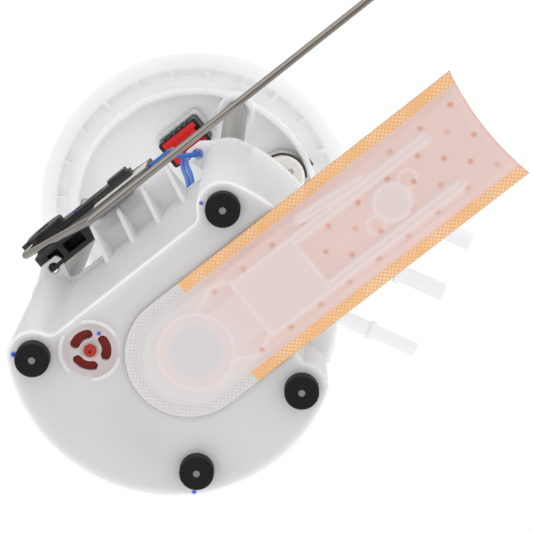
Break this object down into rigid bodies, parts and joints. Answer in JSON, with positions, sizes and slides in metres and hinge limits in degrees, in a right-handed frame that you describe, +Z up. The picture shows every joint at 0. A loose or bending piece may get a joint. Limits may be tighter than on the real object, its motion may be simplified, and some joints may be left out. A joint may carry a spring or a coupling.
{
  "type": "fuel pump module",
  "caption": "In-tank fuel pump module: round cover with pipes, sprung guide rods, fuel cup with pump and level sender, float arm and flat strainer sock.",
  "frame": {"origin": "on the module's axis, in the plane of the cover's sealing face", "axes": "+Z up through the cover; the float arm and the strainer reach out along +X; the cup's flat side with the level sender faces -Y"},
  "size_m": [0.253, 0.194, 0.2685],
  "materials": {
    "white_nylon": "satin",
    "cup_plastic": "satin, slightly translucent",
    "black_plastic": "satin",
    "black_rubber": "matte",
    "red_rubber": "matte",
    "red_plastic": "satin",
    "steel": "brushed",
    "zinc_steel": "zinc plated",
    "brass": "satin",
    "ceramic": "matte",
    "ferrite": "matte",
    "copper_core": "varnished",
    "sock_mesh": "woven mesh",
    "sock_frame": "satin",
    "float_foam": "closed-cell foam",
    "hose": "satin",
    "blue_insulation": "satin",
    "grey_insulation": "satin"
  },
  "bodies": {
    "cover": {"tank_cover": "white_nylon", "supply_pipe": "white_nylon", "return_pipe": "white_nylon", "vent_port": "white_nylon", "guide_rod_left": "steel", "guide_rod_right": "steel", "vent_valve_body": "white_nylon", "harness_plug": "black_plastic", "top_connector": "white_nylon", "connector_blades": "brass", "slide_spring_left": "steel", "slide_spring_right": "steel", "supply_hose": "hose", "return_hose": "hose", "sender_wires": "blue_insulation", "pump_wires": "grey_insulation"},
    "plug_lock": {"plug_lock": "red_plastic"},
    "vent_float": {"vent_valve_float": "white_nylon"},
    "cup": {"reservoir_cup": "cup_plastic", "foot_left": "black_rubber", "foot_right": "black_rubber", "foot_front": "black_rubber", "foot_back": "black_rubber", "umbrella_valve": "red_rubber", "guide_bush_left": "white_nylon", "guide_bush_right": "white_nylon", "pump_shell": "zinc_steel", "pump_inlet_cap": "black_plastic", "pump_outlet_cap": "black_plastic", "pump_magnets": "ferrite", "pump_retainer": "white_nylon", "strainer_sock": "sock_mesh", "strainer_frame": "sock_frame", "outlet_manifold": "black_plastic", "pressure_regulator": "zinc_steel", "jet_pump": "black_plastic", "sender_housing": "black_plastic", "resistor_card": "ceramic", "sender_lead": "blue_insulation"},
    "rotor": {"pump_shaft": "steel", "pump_armature": "copper_core", "pump_impeller": "black_plastic"},
    "float_arm": {"float_arm": "steel", "arm_hub": "black_plastic", "wiper_contact": "brass", "float_clip": "steel"},
    "float": {"level_float": "float_foam"}
  },
  "joints": [
    {"name": "cup_slide", "type": "slide", "parent": "cover", "child": "cup", "axis": [0, 0, 1], "range_m": [0, 0.025], "stiffness_N_per_m": 400, "springref_m": -0.02, "deforming": ["slide_spring_left", "slide_spring_right", "supply_hose", "return_hose", "sender_wires", "pump_wires"]},
    {"name": "lock_slide", "type": "slide", "parent": "cover", "child": "plug_lock", "axis": [1, 0, 0], "range_m": [0, 0.0025]},
    {"name": "vent_float_slide", "type": "slide", "parent": "cover", "child": "vent_float", "axis": [0, 0, 1], "range_m": [0, 0.0025]},
    {"name": "rotor_spin", "type": "hinge", "parent": "cup", "child": "rotor", "pos_m": [0.004, 0.009, -0.195], "axis": [0, 0, 1], "continuous": true},
    {"name": "arm_pivot", "type": "hinge", "parent": "cup", "child": "float_arm", "pos_m": [-0.0369, -0.045, -0.1155], "axis": [0, -1, 0], "range_deg": [0, 45]},
    {"name": "float_spin", "type": "hinge", "parent": "float_arm", "child": "float", "pos_m": [0.16, -0.059, -0.181], "axis": [0, 1, 0], "continuous": true}
  ]
}
